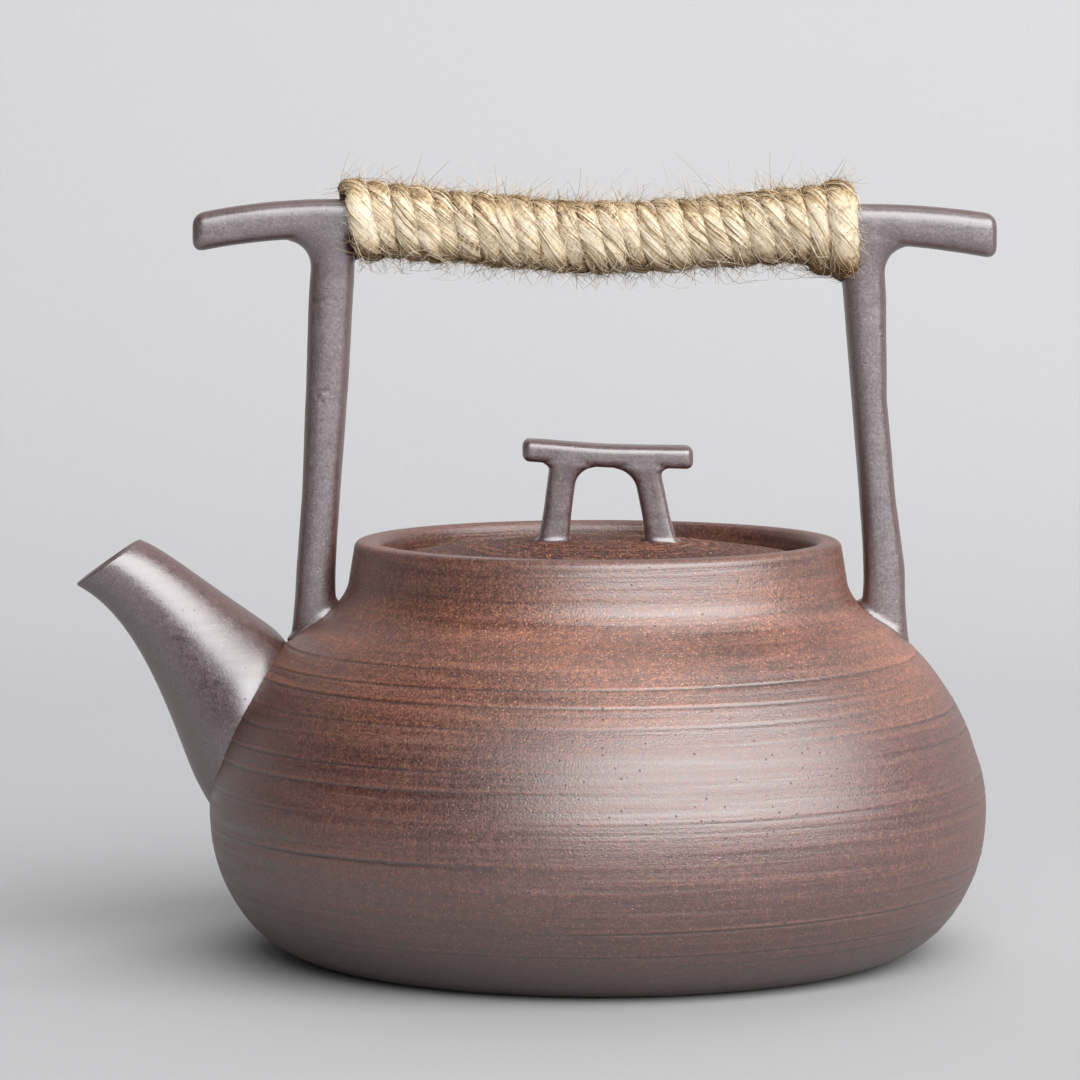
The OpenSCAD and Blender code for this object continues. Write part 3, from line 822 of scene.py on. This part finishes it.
def spin(rows, uv, tone):
    """Adds tubes to the winding: rows is tubes by rings by points, and uv and tone are for each point."""
    start = sum(len(part) for part in strand_parts["points"])
    at = np.arange(rows[..., 0].size).reshape(rows.shape[:3]) + start
    side = np.roll(at, -1, axis=2)
    faces = np.stack([at[:, :-1], side[:, :-1], side[:, 1:], at[:, 1:]], axis=-1)
    strand_parts["faces"].append(faces.reshape(-1, 4))
    strand_parts["points"].append(rows.reshape(-1, 3) * mm)
    strand_parts["uv"].append(np.broadcast_to(uv, rows.shape[:3] + (2,)).reshape(-1, 2))
    strand_parts["tone"].append(np.broadcast_to(tone, rows.shape[:3]).ravel())


strand_q = np.linspace(-math.pi, math.pi, strand_sides, endpoint=False)
strand_place, strand_turn = np.meshgrid(np.arange(len(cord_u)) * 1.0, strand_q, indexing="ij")
strand_uv = np.stack([(strand_turn - cord_lay_turn[:, None]) / (2 * math.pi), strand_place * 0.8], axis=-1)
bundle, ridge = strand_form(strand_place, strand_turn)
# painted shade: the strand under the fibres is darker than they are, darker still in the grooves between its
# bundles and ridges, and darker where the cord faces down and up
strand_tone = 0.42 + 0.40 * (bundle - 0.6) + 0.5 * (ridge - 0.5) - 0.9 * cord_painted_shade[:, None]
spin(on_strand(strand_place, strand_turn)[None], strand_uv[None], strand_tone[None])

# fibres that lie on the cord along its lay, each with its own colour, some with a loose end
rng = np.random.default_rng(77)
fibre_count = 2400
fibre_rings = 20
fibre_hang = 10.2
darkest = -0.3
fibre_q = np.linspace(0, 2 * math.pi, 3, endpoint=False)


def fibre_tubes(mid, out, thick):
    """Thin three-sided tubes about their middle lines, as thick at each ring as they are given."""
    run = np.gradient(mid, axis=1)
    run /= np.linalg.norm(run, axis=2)[..., None]
    beside = np.cross(run, out)
    beside /= np.linalg.norm(beside, axis=2)[..., None]
    round_it = np.cos(fibre_q)[:, None] * np.cross(beside, run)[:, :, None] \
        + np.sin(fibre_q)[:, None] * beside[:, :, None]
    return mid[:, :, None] + thick[..., None, None] * round_it


def loose_uv(count):
    """A place of its own in the cord's grain for each fibre."""
    return np.stack([rng.random(count), rng.random(count) * 400], axis=-1)[:, None, None]


def off_strand(place, q):
    """The way straight off the cord's surface."""
    return np.cos(q)[..., None] * read_along(cord_up, place) \
        + np.sin(q)[..., None] * read_along(cord_side, place)


each = (fibre_count, 1)
share = np.linspace(0, 1, fibre_rings)[None, :]
span = rng.uniform(14, 52, each)
place = rng.uniform(0, 1, each) * (len(cord_u) - 2 - span) + span * share
middle = place[:, fibre_rings // 2]
turn = rng.uniform(-2.2, 2.2, each) + read_along(cord_lay_turn, place) \
    - read_along(cord_lay_turn, middle)[:, None] + rng.normal(0, 0.9, each) * (share - 0.5)
stray = rng.choice((0, 0, 0, 0.5, 1.2), each) * np.clip((share - 0.72) / 0.28, 0, 1) ** 2
lift = 0.06 + 0.05 * np.sin(share * rng.uniform(5, 15, each) + rng.uniform(0, 6, each)) + stray
thick = (0.04 + 0.16 * rng.random(each) ** 2) * np.sin(np.pi * np.clip(share, 0.01, 0.99)) ** 0.5
# each fibre takes the cord's painted shade, darker where the cord faces down and up
fibre_tone = rng.normal(0.62, 0.30, fibre_count) - read_along(cord_painted_shade, middle)
fibre_tone = np.clip(fibre_tone, darkest, 1)
spin(fibre_tubes(on_strand(place, turn, lift), off_strand(place, turn), thick), loose_uv(fibre_count),
     fibre_tone[:, None, None])


def loose_fibres(count, rings, reach, rise, curl, thin, tone, first=0, hang=fibre_hang):
    """Fibres that leave the cord: reach is how long they grow, rise how steeply, curl how much they bend.

    They start at any place from first to the cord's end, and hang no lower than hang below the bar's middle.
    """
    share = np.linspace(0, 1, rings)[None, :, None]
    place = rng.uniform(first, len(cord_u) - 2, count)
    turn = rng.uniform(-1.5, 1.5, count)
    root = on_strand(place, turn, -0.05)[:, None]
    out = off_strand(place, turn)[:, None]
    along = read_along(cord_run, place)[:, None] * rng.choice((-1, 1), (count, 1, 1))
    along = 0.7 * along + rng.normal(0, 1, (count, 1, 3)) * (0.9, 0.4, 0.4)
    along = along - out * np.sum(along * out, axis=2, keepdims=True)
    bend = rng.normal(0, curl, (count, 1, 3)) - 0.6 * rise * out
    length = reach * rng.gamma(4.0, 0.25, (count, 1, 1))
    start = along + out * rise * rng.uniform(0.2, 1.8, (count, 1, 1))
    mid = root + length * (share * start + share ** 2 * bend)
    mid[..., 2] = np.maximum(mid[..., 2], bar_mid(mid[..., 0]) - hang)
    thick = rng.uniform(0.6, 1.3, (count, 1)) * thin * (1 - 0.6 * share[..., 0])
    # the loose fibres take the same painted shade, darker where the cord faces down and up
    shade = np.clip(rng.normal(tone, 0.32, count) - read_along(cord_painted_shade, place), darkest, 1)
    spin(fibre_tubes(mid, np.broadcast_to(out, mid.shape), thick), loose_uv(count), shade[:, None, None])


# fluff that lies close, short hairs that stand off, a few long ones, and the frayed end at the rear post
loose_fibres(9000, rings=6, reach=2.2, rise=0.12, curl=0.60, thin=0.060, tone=0.82)
loose_fibres(3000, rings=7, reach=1.3, rise=0.35, curl=0.70, thin=0.028, tone=0.80)
loose_fibres(24, rings=14, reach=4.5, rise=0.15, curl=0.45, thin=0.030, tone=0.90)
loose_fibres(150, rings=8, reach=1.3, rise=0.6, curl=0.35, thin=0.060, tone=0.70,
             first=len(cord_u) - 30, hang=13.0)

cord_mesh = bpy.data.meshes.new("jute_winding")
cord_mesh.from_pydata(np.concatenate(strand_parts["points"]).tolist(), [],
                      np.concatenate(strand_parts["faces"]).tolist())
cord_mesh.shade_smooth()
cord_uv = cord_mesh.uv_layers.new(name="fibre")
loop_vertex = np.empty(len(cord_mesh.loops), dtype=int)
cord_mesh.loops.foreach_get("vertex_index", loop_vertex)
cord_uv.data.foreach_set("uv", np.concatenate(strand_parts["uv"]).astype(np.float32)[loop_vertex].ravel())
cord_mesh.attributes.new("tone", "FLOAT", "POINT").data.foreach_set(
    "value", np.concatenate(strand_parts["tone"]).astype(np.float32))
cord_mesh.update()
cord = bpy.data.objects.new("jute_winding", cord_mesh)
scene.collection.objects.link(cord)

jute = bpy.data.materials.new("jute")
jute.use_nodes = True
tree = jute.node_tree
jute_shader = tree.nodes["Principled BSDF"]
strand = put(tree, "UVMap", uv_map="fibre").outputs[0]
fine = put(tree, "Mapping", {"Vector": strand, "Scale": (34, 0.16, 1)}).outputs[0]
fibre = cloudy(tree, fine, 1, 4, 0.7)
slow = put(tree, "Mapping", {"Vector": strand, "Scale": (3, 0.06, 1)}).outputs[0]
patch = cloudy(tree, slow, 1, 2)
tone = put(tree, "Attribute", attribute_name="tone").outputs["Fac"]
# painted shade: ambient occlusion darkens the colour in the crevices between fibres and turns
painted_crevice_shade = put(tree, "AmbientOcclusion", {"Distance": 1.4 * mm}, samples=6).outputs["AO"]
jute_tone = sums(tree, 0.73, (fibre, 1.3, 0.5), (patch, 0.35, 0.5), (tone, 0.75, 0.5), (painted_crevice_shade, 0.45, 0.6))
jute_colour = shades(tree, jute_tone, (0.05, (0.13, 0.07, 0.03)), (0.32, (0.44, 0.30, 0.155)),
                     (0.62, (0.78, 0.64, 0.44)), (1.0, (0.85, 0.76, 0.61)))
tree.links.new(jute_colour, jute_shader.inputs["Base Color"])
jute_shader.inputs["Roughness"].default_value = 0.80
jute_shader.inputs["Specular IOR Level"].default_value = 0.3
jute_bump = put(tree, "Bump", {"Strength": 0.8, "Distance": 0.25 * mm, "Height": fibre})
tree.links.new(jute_bump.outputs[0], jute_shader.inputs["Normal"])
cord_mesh.materials.append(jute)
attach(cord, "pot")
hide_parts("cord_wrap")


# Lid: a thrown disc of the coarse clay, slightly domed, with turning rings left in its top, a small steam
# vent in front of the knob and a locating ring below. It lies loose on the ledge inside the collar.
lid_r = 40.0
lid_t = 4.0
lid_rise = 3.6
lid_edge_z = 76.5
lid_under_z = lid_edge_z - lid_t
lid_top_z = lid_edge_z + lid_rise
lid_curve_r = (lid_r ** 2 + lid_rise ** 2) / (2 * lid_rise)
lid_edge = 1.2
under_edge = 0.4
lid_hollow_r = 30.6
lid_ring_pitch = 2.6
lid_ring_w = 0.45
lid_ring_depth = 0.16
lid_grain = 0.08
lid_rows = 130
lid_columns = 384
knob_shift = 1.9
vent_d = 2.2
vent_off = 15.0
drill_past = 2


def lid_z(r):
    """Height of the lid's domed top at a radius."""
    return lid_top_z - lid_curve_r + np.sqrt(lid_curve_r ** 2 - np.square(r))


top_r = np.linspace(axis_r, lid_r - lid_edge, lid_rows)
lid_turn = np.linspace(-math.pi, math.pi, lid_columns, endpoint=False)[None, :]
lid_top = np.column_stack([top_r, lid_z(top_r)])
lid_edge_mid = [lid_r - lid_edge, float(lid_z(lid_r - lid_edge)) - lid_edge]
hollow_r = np.linspace(lid_hollow_r, axis_r, 40)
lid_under = np.vstack([arc(lid_edge_mid, lid_edge, 90, 0, 8),
                       [[lid_r, lid_under_z + under_edge], [lid_r - under_edge, lid_under_z],
                        [lid_hollow_r, lid_under_z]],
                       np.column_stack([hollow_r, lid_z(hollow_r) - lid_t])])
lid_off, lid_at = spiral(top_r[:, None], lid_ring_pitch, lid_turn)
lid_marks = np.exp(-(lid_off * lid_ring_pitch / lid_ring_w) ** 2) \
    * np.clip(wander(51)(lid_at * 2.2) * 1.7 - 0.4, 0, 1) * np.clip((lid_r - 2 - top_r[:, None]) / 3, 0, 1)
lid_top_grid = revolved(lid_top, lid_turn)
lid_rough = np.random.default_rng(52).normal(0, 1, lid_marks.shape) * np.clip(top_r[:, None] / 12, 0, 1)
lid_rough = (lid_rough + np.roll(lid_rough, 1, axis=0) + np.roll(lid_rough, 2, axis=0)) / 2
lid_top_grid[..., 2] += (lid_ring_depth * (lid_marks - 1) + lid_grain * np.clip(lid_rough, -2, 1)) * mm
lid = skin("lid_disc", np.concatenate([lid_top_grid, revolved(lid_under, lid_turn)])[::-1], caps=(True, True))
# painted highlight and shade: the lid is paler on its raised turning rings and high grains, darker in the
# dips between
lid_relief_painted_light = np.concatenate([0.8 * lid_marks + 0.30 * lid_rough - 0.2,
                              np.zeros((len(lid_under), lid_columns))])[::-1].ravel()
lid.data.attributes.new("relief_painted_light", "FLOAT", "POINT").data.foreach_set(
    "value", np.r_[lid_relief_painted_light, 0, 0].astype(np.float32))
vent_ring = np.column_stack([np.cos(bore_turn), np.sin(bore_turn), 0 * bore_turn]) * vent_d / 2
drilled(lid, np.stack([vent_ring + [knob_shift, -vent_off, z]
                       for z in (lid_under_z - drill_past, lid_top_z + drill_past)]) * mm)

lid_clay = fired_clay("lid_clay", deep=(0.016, 0.004, 0.003), body=(0.080, 0.020, 0.012),
                      pale=(0.260, 0.095, 0.053), gloss=0.60, shine=0.22, grain=0.9, grain_depth=0.35,
                      speckle=1.7, gold_share=0.24, streaks=0.0)
lid.data.materials.clear()
lid.data.materials.append(lid_clay)
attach(lid, "lid")
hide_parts("lid_plate")

lid_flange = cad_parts["lid_flange"]
lid_flange.data.materials.clear()
lid_flange.data.materials.append(lid_clay)


# Knob: a small gate of the smoother clay on the lid, two splayed legs under a dished cap that leans a
# little, built and wiped like the handle.
knob_top_z = 96.6
leg_spread = 10.6
leg_leans = (2.4, 3.6)
leg_w = 5.4
leg_d = 7.2
leg_flare = 0.6
arch_fillet = 3.5
cap_fillet = 1.2
cap_half = 16.5
cap_h = 4.4
cap_d = 8.2
cap_sag = 0.4
cap_tilt = math.radians(2.6)
cap_round = 1.4
knob_squareness = 4.2
knob_voxel = 0.28
knob_wipes = 4
leg_bead = 0.35
cap_rings = 90


def cap_mid(x):
    """Height of the cap's middle."""
    x = np.asarray(x) - knob_shift
    return knob_top_z - x * math.tan(cap_tilt) + yoke_z(x, cap_half, cap_sag, cap_half, 0)


def on_lid(x, y):
    """Height of the lid's top at a place."""
    return lid_z(np.hypot(x, y))


def cap_height(x):
    """Height of the cap's section, which is the same all along."""
    return cap_h


knob_tubes = [tube(yoke_rows(knob_shift, cap_half, cap_height, cap_d, cap_round, cap_mid, knob_squareness,
                             cap_rings))]
straight = (0,) * len(post_shares)
for side, leg_lean in zip((-1, 1), leg_leans):
    knob_tubes.append(tube(strut_rows(knob_shift, side, leg_spread, leg_lean, leg_w, leg_d, leg_flare,
                                      (cap_fillet, arch_fillet), (straight, straight), (cap_h, cap_d), on_lid,
                                      cap_mid, knob_squareness)))
    knob_tubes.append(ring_tube(foot_bead(knob_shift, side, leg_spread, leg_w, leg_d, leg_flare, on_lid,
                                          leg_bead)))
knob = melted("lid_knob", knob_tubes, knob_voxel, knob_wipes)
pressed_by_hand(knob, depth=0.06, scale=160, seed=5)
knob.data.materials.append(smooth_clay)
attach(knob, "lid")
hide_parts("knob_left_leg", "knob_right_leg", "knob_cap")


# Studio: a pale paper sweep under and behind the pot, a large soft lamp to the right of the camera and weak
# ones overhead and behind. The paper throws little light back, so the side away from the lamp stays dark.
sweep_w = 9.0
floor_grey = (0.43, 0.43, 0.44)
bounce_grey = (0.14, 0.14, 0.14)
world_grey = (0.75, 0.76, 0.78)
world_strength = 0.08
bend_r = 0.7
back_y = 1.1
front_y = -5.0
back_z = 3.0
sweep_line = [(front_y, 0)] + [(back_y - bend_r + bend_r * math.sin(a), bend_r - bend_r * math.cos(a))
                               for a in np.linspace(0, math.pi / 2, 24)] + [(back_y, back_z)]
sweep_grid = np.array([[[x, y, z] for x in (-sweep_w / 2, sweep_w / 2)] for y, z in sweep_line])
sweep = skin("paper_sweep", sweep_grid, ring=False)
paper = bpy.data.materials.new("paper")
paper.use_nodes = True
tree = paper.node_tree
paper_shader = tree.nodes["Principled BSDF"]
tooth = cloudy(tree, put(tree, "TexCoord").outputs["Object"], 900, 2)
paper_colour = shades(tree, tooth, (0.3, tuple(0.96 * c for c in floor_grey)), (0.7, floor_grey))
ray = put(tree, "LightPath").outputs
seen = sums(tree, 0.0, (ray["Is Camera Ray"], 1, 0), (ray["Is Glossy Ray"], 1, 0),
            (ray["Is Transmission Ray"], 1, 0))
tree.links.new(over(tree, seen, (*bounce_grey, 1), paper_colour), paper_shader.inputs["Base Color"])
paper_shader.inputs["Roughness"].default_value = 0.75
sweep.data.materials.append(paper)


def soft_lamp(name, place, target, size, watts):
    """A flat rectangular lamp that looks from its place to a target."""
    lamp = bpy.data.lights.new(name, "AREA")
    lamp.shape = "RECTANGLE"
    lamp.size, lamp.size_y = size
    lamp.energy = watts
    made = bpy.data.objects.new(name, lamp)
    made.location = place
    made.rotation_euler = (Vector(target) - Vector(place)).to_track_quat("-Z", "Y").to_euler()
    scene.collection.objects.link(made)
    return made


soft_lamp("key", place=(1.48, -2.07, 1.86), target=(0, 0, 0.06), size=(5.8, 3.1), watts=260)
soft_lamp("top", place=(0.10, 0.10, 1.35), target=(0, 0.05, 0.05), size=(0.8, 0.8), watts=2.5)
fill = soft_lamp("back", place=(0.10, 0.80, 1.15), target=(0, 0, 0.06), size=(1.4, 0.6), watts=7)
fill.visible_glossy = False
world = bpy.data.worlds.new("studio")
scene.world = world
world.use_nodes = True
world_light = world.node_tree.nodes["Background"]
world_light.inputs[0].default_value = (*world_grey, 1)
world_light.inputs[1].default_value = world_strength
scene.view_settings.view_transform = "Standard"
